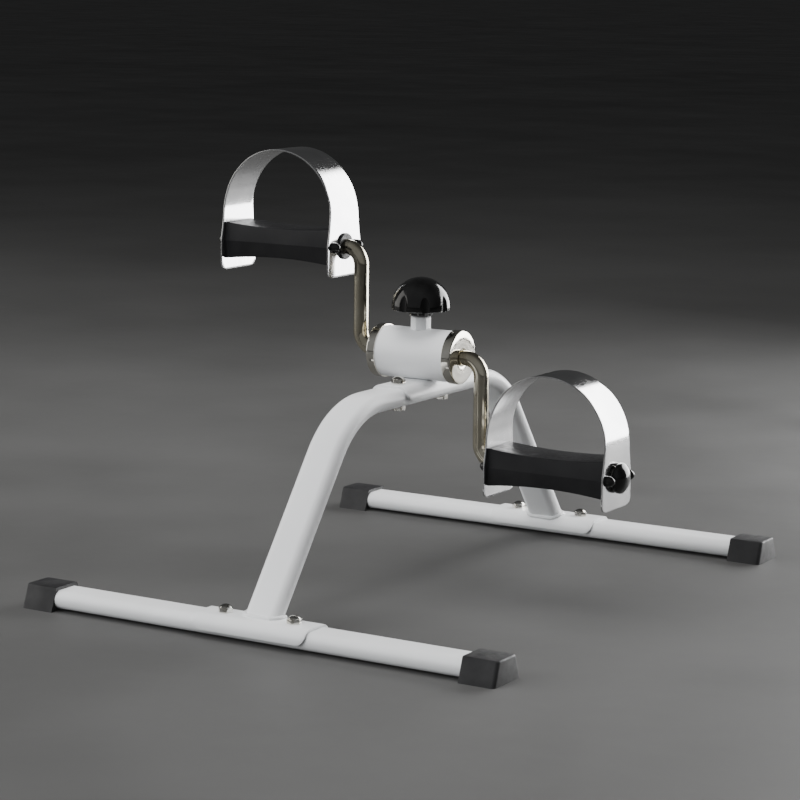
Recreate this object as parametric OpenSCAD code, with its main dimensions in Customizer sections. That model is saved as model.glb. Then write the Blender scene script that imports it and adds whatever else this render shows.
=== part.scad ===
// Pedal exerciser: a bent flat-oval arch on two floor bars carries a barrel,
// a one-piece crank with two strapped pedals, and a screw-down friction brake.
// The origin is on the floor, midway between the four rubber feet. X runs
// along the crank axis, Y runs from the front bar to the rear bar, Z is up.

/* [Floor bars] */
// Length of each floor bar, over its two rubber caps
bar_length = 410; // [360:1:440]
// Distance between the centre lines of the two floor bars
bar_spacing = 448; // [430:1:470]
// Width of the flat-oval tube
tube_w = 30; // [29:0.5:31]
// Thickness of the flat-oval tube
tube_t = 14; // [13.5:0.5:14.5]
// Wall of the flat-oval tube
tube_wall = 1.5; // [1.2:0.1:1.8]

/* [Rubber caps] */
// Length of a cap along the bar
cap_length = 28.5; // [24:0.5:34]
// Height of a cap
cap_h = 18; // [17.5:0.5:20]
// Width of a cap where it stands on the floor
cap_bottom_w = 38; // [37:0.5:42]
// Width of a cap across its top
cap_top_w = 25.5; // [25:0.5:30]
// Thickness of the cap under the tube and behind its end
cap_wall = 1.5; // [1.2:0.1:2]

/* [Arch] */
// Height of the arch tube's centre line over its level top
arch_h = 155; // [150:1:160]
// Bend radius of the arch tube's centre line
arch_bend_r = 76; // [70:1:82]

/* [Saddles and screws] */
// Sheet thickness of the three pressed saddles
saddle_t = 2; // [1.6:0.1:2.2]
// Length of a foot saddle along its bar
foot_saddle_len = 98; // [92:1:104]
// Distance between the two screws of a foot saddle
foot_screw_gap = 60; // [58:1:64]
// Length of the barrel's saddle along the arch
barrel_saddle_len = 92; // [88:1:96]
// Distance between the two bolts of the barrel's saddle
barrel_bolt_gap = 66; // [64:1:68]
// Diameter of the frame screws and bolts
screw_d = 6; // [5:0.5:6]

/* [Barrel] */
// Height of the crank axis above the floor
axis_h = 183.5; // [183:0.1:184]
// Outer diameter of the barrel tube
barrel_d = 40.4; // [40:0.1:41]
// Wall of the barrel tube
barrel_wall = 1.7; // [1.5:0.1:2]
// Distance over the outer faces of the two chrome end caps
barrel_len = 76; // [75:0.5:77]
// Depth of an end cap's rim along the barrel
end_cap_band = 7.5; // [6:0.5:9]
// Sheet thickness of an end cap
end_cap_t = 1; // [0.8:0.1:1.2]

/* [Crank] */
// Diameter of the crank rod
rod_d = 12; // [11:0.5:12]
// Crank radius, from the shaft axis to a pedal axis
crank_r = 80; // [76:1:84]
// Distance of each crank arm from the middle
arm_x = 55.3; // [55:0.1:56]
// Bend radius of the rod's centre line
rod_bend_r = 14; // [13:0.5:14]

/* [Pedals] */
// Distance of a pedal block's inner end from the middle
pedal_x = 72.6; // [72.5:0.1:73.5]
// Length of a pedal block
pedal_len = 100.5; // [96:0.5:104]
// Depth of a pedal block over its two ridges
pedal_depth = 41; // [40:0.5:44]
// Height of a pedal block at its ends
pedal_h = 29.5; // [28:0.5:31]
// Hollow of the tread in the middle of the block
tread_dip = 2.6; // [1:0.1:3]
// Hollow of the underside in the middle of the block
belly_dip = 3.2; // [1:0.1:3.5]
// How far the ridge stands out from the block's long edges
ridge_out = 1.8; // [1:0.1:3]

/* [Toe straps] */
// Sheet thickness of a toe strap
strap_t = 1.2; // [1:0.1:1.5]
// Width of a strap over the foot
strap_w = 39; // [36:0.5:42]
// Width of a strap's ends beside the block
strap_end_w = 48; // [46:0.5:50]
// Height at which a strap's sides turn into its round top, above the pedal axis
strap_shoulder = 24; // [22:1:34]
// How far a strap's ends hang below the pedal axis
strap_drop = 24; // [22:0.5:26]
// Distance between the two screws at each end of a strap
strap_screw_gap = 33; // [32:0.5:34]

/* [Knob and brake] */
// Diameter of the knob over its lobes
knob_d = 46; // [42:0.5:50]
// Height of the knob's head
knob_h = 26; // [24:0.5:28]
// Number of lobes
knob_lobes = 8; // [6:1:9]
// Diameter of the tension screw
tension_d = 8; // [7:0.5:8]
// Gap between the knob's hub and the boss at rest
knob_gap = 0.7; // [0.6:0.1:1]
// Width across the flats of the threaded boss
boss_flats = 14; // [13:0.5:15]
// Height of the boss's top above the crank axis
boss_top = 29.5; // [28:0.5:31]

/* [Hidden] */
$fn = 64;
run_gap = 0.05;
pad_lift = 0.35;
bar_y = bar_spacing / 2;
bar_z = cap_wall + tube_t / 2;
saddle_top = bar_z + tube_t / 2 + saddle_t;
arch_top = arch_h + tube_t / 2;
seat_top = arch_top + saddle_t;
barrel_r = barrel_d / 2;
barrel_in_r = barrel_r - barrel_wall;
rod_r = rod_d / 2;
pedal_mid = pedal_x + pedal_len / 2;
strap_r = pedal_len / 2;
bush_r = 9;
flange_r = 10.5;
flange_t = 2;
strap_face = pedal_x + pedal_len + strap_t;
washer_x = strap_face + 0.3;
washer_t = 1;
axle_cap_h = 8.5;
bolt_head_h = 5;
rod_end = washer_x + washer_t + 4;
bush_len = 8;
brake_len = 20;
collar_w = 4;
knob_z = axis_h + boss_top + knob_gap;
hub_h = 4.5;
hub_r = 9.8;
pad_top = 11;
head_flats = 10;
head_h = 6;
nut_h = 5;
strap_head_r = 4.3;
strap_head_h = 6.4;
eps = 0.01;

// ---- Shared shapes ----

// Flat-oval outline, w wide along X and t thick along Y
module flat_oval(w, t) {
    square([w - t, t], center = true);
    for (s = [-1, 1]) translate([s * (w - t) / 2, 0]) circle(d = t);
}

// Stand a profile up and draw it out along X, centred on the origin:
// the profile's X becomes Y and its Y becomes Z
module along_x(len) {
    rotate([90, 0, 90]) linear_extrude(len, center = true) children();
}

// The same along Y: the profile's X stays X and its Y becomes Z
module along_y(len) {
    rotate([90, 0, 0]) linear_extrude(len, center = true) children();
}

// Cylinder whose axis runs along X, from x0 to x1
module x_rod(x0, x1, r) {
    translate([x0, 0, 0]) rotate([0, 90, 0]) cylinder(h = x1 - x0, r = r);
}

// Hexagonal prism with its flats across Y, standing on Z = 0
module hex_prism(flats, h) {
    cylinder(h = h, d = flats / cos(30), $fn = 6);
}

// Hexagon head with a low dome, standing on Z = 0
module dome_head() {
    dome_r = head_flats * 0.62;
    intersection() {
        hex_prism(head_flats, head_h);
        translate([0, 0, head_h - dome_r]) sphere(r = dome_r);
    }
    hex_prism(head_flats, head_h * 0.55);
}

// ---- Floor bars and rubber caps ----

module floor_bar(y) {
    translate([0, y, bar_z]) difference() {
        along_x(bar_length - 2 * cap_wall) flat_oval(tube_w, tube_t);
        along_x(bar_length) flat_oval(tube_w - 2 * tube_wall, tube_t - 2 * tube_wall);
        for (x = [-1, 1] * foot_screw_gap / 2) translate([x, 0, 0])
            cylinder(h = tube_t, d = screw_d + 0.4);
    }
}

module front_floor_bar() color("whitesmoke") floor_bar(-bar_y);
module rear_floor_bar() color("whitesmoke") floor_bar(bar_y);

// Rubber cap with sloping sides, a bevelled top and an open socket for the tube
module foot_cap(side, y) {
    bevel = 1.2;
    translate([side * (bar_length / 2 - cap_length / 2), y, 0]) difference() {
        along_x(cap_length) polygon([
            [-cap_bottom_w / 2, 0], [cap_bottom_w / 2, 0],
            [cap_top_w / 2 + bevel * 0.4, cap_h - bevel], [cap_top_w / 2 - bevel * 0.6, cap_h],
            [-cap_top_w / 2 + bevel * 0.6, cap_h], [-cap_top_w / 2 - bevel * 0.4, cap_h - bevel]]);
        translate([-side * cap_wall, 0, bar_z]) along_x(cap_length) flat_oval(tube_w, tube_t);
        translate([side * cap_length / 2, 0, cap_h]) rotate([0, 45, 0])
            cube([bevel * 1.4, cap_bottom_w + 2, bevel * 1.4], center = true);
    }
}

module front_left_cap() color("dimgray") foot_cap(-1, -bar_y);
module front_right_cap() color("dimgray") foot_cap(1, -bar_y);
module rear_left_cap() color("dimgray") foot_cap(-1, bar_y);
module rear_right_cap() color("dimgray") foot_cap(1, bar_y);

// ---- Arch ----

// One half of the arch's run, drawn with the profile passed in as a child. The
// legs slope 4 up for 3 along, which turns the bend by the angle of that triangle
module half_arch() {
    run = 3;
    rise = 4;
    turn = atan2(rise, run);
    tangent = arch_bend_r / 2;
    corner_y = bar_y - (arch_h - bar_z) * run / rise;
    level_y = corner_y - tangent;
    leg_len = (arch_h - bar_z) * norm([run, rise]) / rise - tangent;
    span = 4 * arch_bend_r;
    translate([0, level_y / 2, arch_h]) along_y(level_y) children();
    translate([0, level_y, arch_h - arch_bend_r]) {
        intersection() {
            rotate([0, -90, 0]) rotate_extrude($fn = 96)
                translate([arch_bend_r, 0]) rotate(90) children();
            translate([-span / 2, 0, 0]) cube(span);
            rotate([-turn, 0, 0]) translate([-span / 2, -span, 0]) cube(span);
        }
        rotate([-turn, 0, 0]) translate([0, leg_len / 2, arch_bend_r])
            along_y(leg_len) children();
    }
}

module whole_arch() {
    half_arch() children();
    mirror([0, 1, 0]) half_arch() children();
}

module arch_tube() color("whitesmoke") difference() {
    whole_arch() flat_oval(tube_w, tube_t);
    whole_arch() flat_oval(tube_w - 2 * tube_wall, tube_t - 2 * tube_wall);
    for (y = [-1, 1] * bar_y) translate([0, y, bar_z]) along_x(foot_saddle_len)
        flat_oval(tube_w + 2 * saddle_t, tube_t + 2 * saddle_t);
    for (y = [-1, 1] * bar_y) translate([0, y, 0])
        cube([2 * tube_w, 4 * tube_w, 2 * bar_z], center = true);
    for (y = [-1, 1] * barrel_bolt_gap / 2) translate([0, y, arch_h])
        cylinder(h = 2 * tube_t, d = screw_d + 0.4, center = true);
}

// ---- Saddles ----

// Pressed sheet that wraps over a flat-oval tube; the tube runs along X at the
// origin, and the skirts reach down to drop below the tube's centre
module saddle(len, drop) {
    corner = 8;
    outer_w = tube_w + 2 * saddle_t;
    difference() {
        along_x(len) flat_oval(outer_w, tube_t + 2 * saddle_t);
        along_x(len + 2) flat_oval(tube_w, tube_t);
        translate([0, 0, -drop - tube_t]) cube([len + 2, outer_w + 2, 2 * tube_t], center = true);
        for (sx = [-1, 1], sy = [-1, 1])
            translate([sx * len / 2, sy * outer_w / 2, -drop]) rotate([0, 45, 0])
                cube([corner * 1.5, tube_t, corner * 1.5], center = true);
    }
}

module foot_saddle(y) {
    translate([0, y, bar_z]) difference() {
        saddle(foot_saddle_len, 2.5);
        for (x = [-1, 1] * foot_screw_gap / 2) translate([x, 0, 0])
            cylinder(h = tube_t, d = screw_d + 0.4);
    }
}

module front_foot_saddle() color("white") foot_saddle(-bar_y);
module rear_foot_saddle() color("white") foot_saddle(bar_y);

module barrel_saddle() color("white") difference() {
    translate([0, 0, arch_h]) rotate([0, 0, 90]) saddle(barrel_saddle_len, 2.5);
    translate([0, 0, axis_h]) x_rod(-barrel_len, barrel_len, barrel_r);
    for (y = [-1, 1] * barrel_bolt_gap / 2) translate([0, y, arch_h])
        cylinder(h = tube_t, d = screw_d + 0.4);
}

// ---- Fasteners of the frame ----

// Places its children at each of the four foot screws, on the saddles' top
module at_foot_screws() {
    for (y = [-1, 1] * bar_y, x = [-1, 1] * foot_screw_gap / 2)
        translate([x, y, saddle_top]) children();
}

module foot_screws() color("silver") at_foot_screws() {
    dome_head();
    translate([0, 0, -11]) cylinder(h = 11 + eps, d = screw_d);
}

module foot_weld_nuts() color("gray") at_foot_screws() {
    translate([0, 0, -saddle_t - tube_wall - nut_h]) difference() {
        hex_prism(head_flats, nut_h);
        translate([0, 0, -1]) cylinder(h = nut_h + 2, d = screw_d);
    }
}

module barrel_bolts() color("silver") for (y = [-1, 1] * barrel_bolt_gap / 2) {
    translate([0, y, arch_h - tube_t / 2 - bolt_head_h]) hex_prism(head_flats, bolt_head_h);
    translate([0, y, arch_h - tube_t / 2 - eps])
        cylinder(h = tube_t + saddle_t + 4, d = screw_d);
}

module barrel_nuts() color("silver") for (y = [-1, 1] * barrel_bolt_gap / 2)
    translate([0, y, seat_top]) difference() {
        dome_head();
        translate([0, 0, -1]) cylinder(h = 5, d = screw_d);
    }

// ---- Barrel ----

module barrel_tube() color("whitesmoke") translate([0, 0, axis_h]) difference() {
    x_rod(-barrel_len / 2 + end_cap_t, barrel_len / 2 - end_cap_t, barrel_r);
    x_rod(-barrel_len, barrel_len, barrel_in_r);
    cylinder(h = barrel_d, d = tension_d + 1);
}

module screw_boss() color("white") translate([0, 0, axis_h]) difference() {
    rotate([0, 0, 30]) hex_prism(boss_flats, boss_top);
    x_rod(-barrel_len, barrel_len, barrel_r);
    cylinder(h = barrel_d, d = tension_d);
}

// Pressed chrome cup that closes one end of the barrel, with a rolled edge
module end_cap() {
    edge = 1;
    outer_r = barrel_r + end_cap_t;
    rotate([0, 90, 0]) translate([0, 0, barrel_len / 2 - end_cap_band]) difference() {
        rotate_extrude() {
            square([outer_r - edge, end_cap_band]);
            square([outer_r, end_cap_band - edge]);
            translate([outer_r - edge, end_cap_band - edge]) circle(r = edge);
        }
        translate([0, 0, -1]) cylinder(h = end_cap_band - end_cap_t + 1, r = barrel_r);
        cylinder(h = 2 * end_cap_band, r = rod_r + 1);
    }
}

module right_end_cap() color("silver") translate([0, 0, axis_h]) end_cap();
module left_end_cap() color("silver") mirror([1, 0, 0])
    translate([0, 0, axis_h]) end_cap();

// Nylon ring pressed into the barrel, in which the shaft turns
module shaft_bush(side) {
    x1 = barrel_len / 2 - end_cap_t;
    translate([0, 0, axis_h]) rotate([0, side * 90, 0]) translate([0, 0, x1 - bush_len])
        difference() {
            cylinder(h = bush_len, r = barrel_in_r);
            translate([0, 0, -1]) cylinder(h = bush_len + 2, r = rod_r + run_gap);
        }
}

module left_shaft_bush() color("ivory") shaft_bush(-1);
module right_shaft_bush() color("ivory") shaft_bush(1);

// ---- Friction brake ----

// Lower half block, which fills the barrel under the shaft
module lower_brake_block() color("saddlebrown") translate([0, 0, axis_h]) difference() {
    x_rod(-brake_len / 2, brake_len / 2, barrel_in_r);
    x_rod(-brake_len, brake_len, rod_r + run_gap);
    translate([0, 0, barrel_d / 2 - 0.5]) cube([2 * brake_len, 2 * barrel_d, barrel_d], center = true);
}

// Upper block, which the tension screw presses down on the shaft
module upper_brake_block() color("saddlebrown") translate([0, 0, axis_h + pad_lift]) difference() {
    translate([-brake_len / 2, -10, 0.4]) cube([brake_len, 20, pad_top - pad_lift - 0.4]);
    x_rod(-brake_len, brake_len, rod_r + run_gap);
    translate([0, 0, pad_top - pad_lift - 3]) cylinder(h = 4, d = tension_d);
}

module tension_screw() color("silver") translate([0, 0, axis_h + pad_top - 2.7])
    cylinder(h = knob_z + hub_h - (axis_h + pad_top - 2.7), d = tension_d - 2 * run_gap);

// Mushroom head with scalloped lobes over a short round hub
module tension_knob() color("black") translate([0, 0, knob_z]) difference() {
    head_r = knob_d / 2;
    dome_r = (pow(head_r, 2) + pow(knob_h, 2)) / (2 * knob_h);
    scallop_r = 4.5;
    scallop_depth = 2;
    first_scallop = 38.4;
    union() {
        cylinder(h = hub_h + 1, r = hub_r);
        translate([0, 0, hub_h]) intersection() {
            cylinder(h = knob_h, r = head_r);
            translate([0, 0, knob_h - dome_r]) sphere(r = dome_r);
        }
    }
    for (k = [0 : knob_lobes - 1]) rotate([0, 0, first_scallop + k * 360 / knob_lobes])
        translate([head_r - scallop_depth + scallop_r, 0, hub_h - 1])
            cylinder(h = knob_h, r = scallop_r);
    translate([0, 0, -1]) cylinder(h = hub_h + 1, d = tension_d - 2 * run_gap);
}

// ---- Crank ----

// One quarter bend of the rod, from travel along X to travel along Z:
// it starts at the origin and ends at (rod_bend_r, rod_bend_r)
module rod_bend() {
    rotate([90, 0, 0]) translate([0, rod_bend_r, 0]) rotate([0, 0, -90])
        rotate_extrude(angle = 90, $fn = 96) translate([rod_bend_r, 0]) circle(r = rod_r);
}

// Half of the crank, on the +X side, with its arm pointing up
module half_crank() {
    r = rod_bend_r;
    x_rod(0, arm_x - r, rod_r);
    translate([arm_x - r, 0, 0]) rod_bend();
    translate([arm_x, 0, r]) cylinder(h = crank_r - 2 * r, r = rod_r);
    translate([arm_x + r, 0, crank_r]) rotate([0, 180, 0]) rod_bend();
    translate([0, 0, crank_r]) x_rod(arm_x + r, rod_end, rod_r);
}

module crank_rod() color("silver") translate([0, 0, axis_h]) {
    mirror([1, 0, 0]) half_crank();
    mirror([0, 0, 1]) half_crank();
}

module shaft_collars() color("gray") translate([0, 0, axis_h])
    for (side = [-1, 1]) rotate([0, side * 90, 0]) difference() {
        translate([0, 0, barrel_len / 2 - end_cap_t - bush_len - 0.5 - collar_w])
            cylinder(h = collar_w, r = rod_r + 3);
        cylinder(h = barrel_len / 2, r = rod_r);
    }

// Moves its children onto a pedal axis: side -1 is the left pedal, at the top
module at_pedal(side) {
    translate([0, 0, axis_h - side * crank_r]) children();
}

// Domed push-on cap on the rod's end, outside the pedal
module axle_cap(side) {
    dome_r = 16;
    cap_r = 11.8;
    at_pedal(side) rotate([0, side * 90, 0]) translate([0, 0, washer_x + washer_t]) difference() {
        intersection() {
            cylinder(h = axle_cap_h, r = cap_r);
            translate([0, 0, axle_cap_h - dome_r]) sphere(r = dome_r);
        }
        translate([0, 0, -1]) cylinder(h = rod_end - washer_x - washer_t + 1, r = rod_r);
    }
}

module left_axle_cap() color("black") axle_cap(-1);
module right_axle_cap() color("black") axle_cap(1);

module axle_washers() color("silver") for (side = [-1, 1])
    at_pedal(side) rotate([0, side * 90, 0]) translate([0, 0, washer_x]) difference() {
        cylinder(h = washer_t, r = rod_r + 3);
        translate([0, 0, -1]) cylinder(h = washer_t + 2, r = rod_r);
    }

// ---- Pedals ----

// Block with a ridge along its front and back, hollowed a little above and below
module pedal_block(side) {
    half_h = pedal_h / 2;
    half_d = pedal_depth / 2;
    top_r = (pow(pedal_len / 2, 2) + pow(tread_dip, 2)) / (2 * tread_dip);
    belly_r = (pow(pedal_len / 2, 2) + pow(belly_dip, 2)) / (2 * belly_dip);
    at_pedal(side) translate([side * pedal_mid, 0, 0]) difference() {
        along_x(pedal_len) polygon([
            [-half_d + ridge_out, half_h], [-half_d, 0], [-half_d + ridge_out, -half_h],
            [half_d - ridge_out, -half_h], [half_d, 0], [half_d - ridge_out, half_h]]);
        translate([0, 0, half_h - tread_dip + top_r]) rotate([90, 0, 0])
            cylinder(h = 2 * pedal_depth, r = top_r, center = true, $fn = 720);
        translate([0, 0, -half_h + belly_dip - belly_r]) rotate([90, 0, 0])
            cylinder(h = 2 * pedal_depth, r = belly_r, center = true, $fn = 720);
        x_rod(-pedal_len, pedal_len, rod_r + 1);
        for (s = [-1, 1]) rotate([0, s * 90, 0]) translate([0, 0, pedal_len / 2 - 14])
            cylinder(h = 20, r = bush_r);
        for (s = [-1, 1], y = [-1, 1] * strap_screw_gap / 2)
            rotate([0, s * 90, 0]) translate([0, y, pedal_len / 2 - 12]) cylinder(h = 20, r = 1.8);
    }
}

module left_pedal_block() color("black") pedal_block(-1);
module right_pedal_block() color("black") pedal_block(1);

// Polished hoop over the pedal, seen along X: wide ends, slimmer over the foot
module strap_outline() {
    half_end = strap_end_w / 2;
    half_w = strap_w / 2;
    corner = 6;
    top = strap_shoulder + strap_r + strap_t + 1;
    waist = [[half_end, 2], [half_w + 1.2, strap_shoulder * 0.9], [half_w, strap_shoulder + 16]];
    left = [for (p = waist) [-p[0], p[1]]];
    right = [for (k = [2 : -1 : 0]) waist[k]];
    difference() {
        polygon(concat([[half_end, -strap_drop], [-half_end, -strap_drop]], left,
            [[-half_w, top], [half_w, top]], right));
        for (s = [-1, 1]) translate([s * (half_end - corner), -strap_drop + corner])
            difference() {
                translate([s > 0 ? 0 : -2 * corner, -2 * corner]) square(2 * corner);
                circle(r = corner);
            }
    }
}

module toe_strap(side) {
    at_pedal(side) translate([side * pedal_mid, 0, 0]) difference() {
        intersection() {
            along_x(2 * pedal_len) strap_outline();
            difference() {
                along_y(strap_end_w + 2) hoop_outline(strap_r + strap_t);
                along_y(strap_end_w + 4) hoop_outline(strap_r);
            }
        }
        x_rod(-pedal_len, pedal_len, bush_r);
        for (y = [-1, 1] * strap_screw_gap / 2)
            translate([0, y, 0]) x_rod(-pedal_len, pedal_len, 2);
    }
}

// Straight-sided arch with a round top, open downwards
module hoop_outline(r) {
    translate([0, strap_shoulder]) circle(r = r);
    translate([-r, -strap_drop - 5]) square([2 * r, strap_shoulder + strap_drop + 5]);
}

module left_toe_strap() color("gainsboro") toe_strap(-1);
module right_toe_strap() color("gainsboro") toe_strap(1);

// Four black screws that hold a strap's ends to its block
module strap_screws(side) {
    at_pedal(side) translate([side * pedal_mid, 0, 0])
        for (s = [-1, 1], y = [-1, 1] * strap_screw_gap / 2)
            rotate([0, s * 90, 0]) translate([0, y, pedal_len / 2 + strap_t]) {
                intersection() {
                    cylinder(h = strap_head_h, r = strap_head_r);
                    translate([0, 0, strap_head_h - 6]) sphere(r = 6);
                }
                translate([0, 0, -12]) cylinder(h = 12 + eps, r = 1.8);
            }
}

module left_strap_screws() color("black") strap_screws(-1);
module right_strap_screws() color("black") strap_screws(1);

// Two bushes pressed through the strap into the block's ends, with a flange beside the crank
module pedal_bushes(side) {
    at_pedal(side) translate([side * pedal_mid, 0, 0]) for (s = [-1, 1])
        rotate([0, s * 90, 0]) translate([0, 0, pedal_len / 2 - 14]) difference() {
            union() {
                cylinder(h = 14 + strap_t + eps, r = bush_r);
                if (s == -side) translate([0, 0, 14 + strap_t]) cylinder(h = flange_t, r = flange_r);
            }
            translate([0, 0, -1]) cylinder(h = 20, r = rod_r + run_gap);
        }
}

module left_pedal_bushes() color("black") pedal_bushes(-1);
module right_pedal_bushes() color("black") pedal_bushes(1);

front_floor_bar();
rear_floor_bar();
front_left_cap();
front_right_cap();
rear_left_cap();
rear_right_cap();
arch_tube();
front_foot_saddle();
rear_foot_saddle();
foot_screws();
foot_weld_nuts();
barrel_saddle();
barrel_bolts();
barrel_nuts();
barrel_tube();
screw_boss();
left_end_cap();
right_end_cap();
left_shaft_bush();
right_shaft_bush();
lower_brake_block();
crank_rod();
shaft_collars();
left_axle_cap();
right_axle_cap();
axle_washers();
upper_brake_block();
tension_knob();
tension_screw();
left_pedal_block();
left_toe_strap();
left_strap_screws();
left_pedal_bushes();
right_pedal_block();
right_toe_strap();
right_strap_screws();
right_pedal_bushes();
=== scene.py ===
import math

import bmesh
import bpy
from mathutils import Matrix, Vector


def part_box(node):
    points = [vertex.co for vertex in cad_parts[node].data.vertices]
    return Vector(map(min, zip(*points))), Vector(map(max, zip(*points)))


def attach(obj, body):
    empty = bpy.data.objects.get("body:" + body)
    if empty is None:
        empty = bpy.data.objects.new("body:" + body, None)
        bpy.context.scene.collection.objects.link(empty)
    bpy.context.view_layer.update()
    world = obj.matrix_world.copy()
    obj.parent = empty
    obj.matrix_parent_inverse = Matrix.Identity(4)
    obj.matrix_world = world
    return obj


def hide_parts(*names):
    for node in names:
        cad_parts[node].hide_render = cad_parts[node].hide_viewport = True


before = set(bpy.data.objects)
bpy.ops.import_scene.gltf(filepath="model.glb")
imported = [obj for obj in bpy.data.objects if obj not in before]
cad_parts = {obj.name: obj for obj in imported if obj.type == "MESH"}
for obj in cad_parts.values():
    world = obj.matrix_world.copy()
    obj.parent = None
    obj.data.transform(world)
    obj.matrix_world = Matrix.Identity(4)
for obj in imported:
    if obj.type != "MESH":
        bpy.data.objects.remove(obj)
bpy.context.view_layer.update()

# ---- Floor bars ----
# Two lengths of flat-oval steel tube, 30 x 14 mm over a 1.5 mm wall, sawn square and
# powder coated white before the rubber caps are pushed on. Sizes here are in millimetres.

MM = 0.001
ACROSS = Matrix(((0, 0, 1), (1, 0, 0), (0, 1, 0))).to_4x4()  # a flat outline stood up to face along X


def node_box(node):
    """Lowest and highest corner of a CAD node, in millimetres."""
    lo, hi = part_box(node)
    return lo / MM, hi / MM


def coat_material(name, base_colour, metallic, roughness, coat=0.0):
    """A new material, its node tree and its shader."""
    material = bpy.data.materials.new(name)
    material.use_nodes = True
    tree = material.node_tree
    shader = tree.nodes["Principled BSDF"]
    shader.inputs["Base Color"].default_value = (*base_colour, 1)
    shader.inputs["Metallic"].default_value = metallic
    shader.inputs["Roughness"].default_value = roughness
    shader.inputs["Coat Weight"].default_value = coat
    shader.inputs["Coat Roughness"].default_value = 0.06
    return material, tree, shader


def object_noise(tree, scale, detail=3.0, stretch=(1, 1, 1)):
    """Noise that is fixed to the piece; scale is in features per metre."""
    coords = tree.nodes.new("ShaderNodeTexCoord")
    mapping = tree.nodes.new("ShaderNodeMapping")
    mapping.inputs["Scale"].default_value = stretch
    noise = tree.nodes.new("ShaderNodeTexNoise")
    noise.inputs["Scale"].default_value = scale
    noise.inputs["Detail"].default_value = detail
    tree.links.new(coords.outputs["Object"], mapping.inputs["Vector"])
    tree.links.new(mapping.outputs["Vector"], noise.inputs["Vector"])
    return noise.outputs["Fac"]


def vary_colour(tree, shader, field, dark, light, low=0.35, high=0.65):
    """The base colour runs from dark to light as the field goes from low to high."""
    ramp = tree.nodes.new("ShaderNodeValToRGB")
    ramp.color_ramp.elements[0].position = low
    ramp.color_ramp.elements[1].position = high
    ramp.color_ramp.elements[0].color = (*dark, 1)
    ramp.color_ramp.elements[1].color = (*light, 1)
    tree.links.new(field, ramp.inputs["Fac"])
    tree.links.new(ramp.outputs["Color"], shader.inputs["Base Color"])


def vary_roughness(tree, shader, field, smooth, rough):
    """The roughness runs from smooth to rough over the middle of the field."""
    spread = tree.nodes.new("ShaderNodeMapRange")
    spread.inputs["From Min"].default_value = 0.3
    spread.inputs["From Max"].default_value = 0.7
    spread.inputs["To Min"].default_value = smooth
    spread.inputs["To Max"].default_value = rough
    tree.links.new(field, spread.inputs["Value"])
    tree.links.new(spread.outputs["Result"], shader.inputs["Roughness"])


def raise_grain(tree, shader, field, depth, strength):
    """A fine relief, depth millimetres deep."""
    bump = tree.nodes.new("ShaderNodeBump")
    bump.inputs["Distance"].default_value = depth * MM
    bump.inputs["Strength"].default_value = strength
    tree.links.new(field, bump.inputs["Height"])
    tree.links.new(bump.outputs["Normal"], shader.inputs["Normal"])


def white_powder_coat(name, grain):
    """Satin white powder coat: orange peel, a slow drift of tone and a little rubbing."""
    material, tree, shader = coat_material(name, (0.80, 0.81, 0.82), 0.0, 0.36, coat=0.12)
    shader.inputs["Coat Roughness"].default_value = 0.22
    vary_colour(tree, shader, object_noise(tree, 14), (0.765, 0.775, 0.785), (0.82, 0.83, 0.84))
    vary_roughness(tree, shader, object_noise(tree, 60, detail=6), 0.30, 0.44)
    raise_grain(tree, shader, object_noise(tree, grain, detail=2), 0.12, 0.12)
    return material


def each_once(things):
    """The things in the order they come, without repeats."""
    return list(dict.fromkeys(things))


def oval_ring(bm, width, thick, stand, quarter=12):
    """A flat-oval loop about the origin, width along its own X; stand turns it to face its path."""
    ring = bmesh.ops.create_circle(bm, segments=4 * quarter, radius=thick / 2)["verts"]
    half_step = Matrix.Rotation(math.pi / (4 * quarter), 3, "Z")
    bmesh.ops.rotate(bm, verts=ring, cent=(0, 0, 0), matrix=half_step)
    for side in (-1, 1):
        half = [v for v in ring if v.co.x * side > 0]
        bmesh.ops.translate(bm, verts=half, vec=(side * (width - thick) / 2, 0, 0))
    bmesh.ops.transform(bm, matrix=stand, verts=ring)
    return each_once(edge for v in ring for edge in v.link_edges)


def corners(edges):
    """The vertices at the ends of the edges."""
    return each_once(v for edge in edges for v in edge.verts)


def drag(bm, edges, step):
    """Draws loops of edges out by step, and returns the loops at the new end."""
    grown = bmesh.ops.extrude_edge_only(bm, edges=edges)["geom"]
    moved = [g for g in grown if isinstance(g, bmesh.types.BMVert)]
    bmesh.ops.translate(bm, verts=moved, vec=step)
    new = set(moved)
    return [e for e in each_once(e for v in moved for e in v.link_edges) if set(e.verts) <= new]


def swing(bm, edges, centre, axis, degrees, steps):
    """Turns loops of edges about an axis, and returns the loops at the new end."""
    turned = bmesh.ops.spin(bm, geom=corners(edges) + edges, cent=centre, axis=axis, dvec=(0, 0, 0),
                            angle=math.radians(degrees), steps=steps, use_duplicate=False)
    return [g for g in turned["geom_last"] if isinstance(g, bmesh.types.BMEdge)]


def finish_piece(bm, name, material, body, nodes=(), crease=38, recalc=True):
    """Makes the bmesh, in millimetres, a smooth piece on its body that stands for the CAD nodes."""
    bmesh.ops.remove_doubles(bm, verts=bm.verts, dist=0.002)
    if recalc:
        bmesh.ops.recalc_face_normals(bm, faces=bm.faces)
    bmesh.ops.scale(bm, vec=(MM, MM, MM), verts=bm.verts)
    mesh = bpy.data.meshes.new(name)
    bm.to_mesh(mesh)
    bm.free()
    mesh.shade_smooth()
    mesh.set_sharp_from_angle(angle=math.radians(crease))
    mesh.materials.append(material)
    piece = bpy.data.objects.new(name, mesh)
    bpy.context.scene.collection.objects.link(piece)
    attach(piece, body)
    if nodes:
        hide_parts(*nodes)
    return piece


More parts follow.
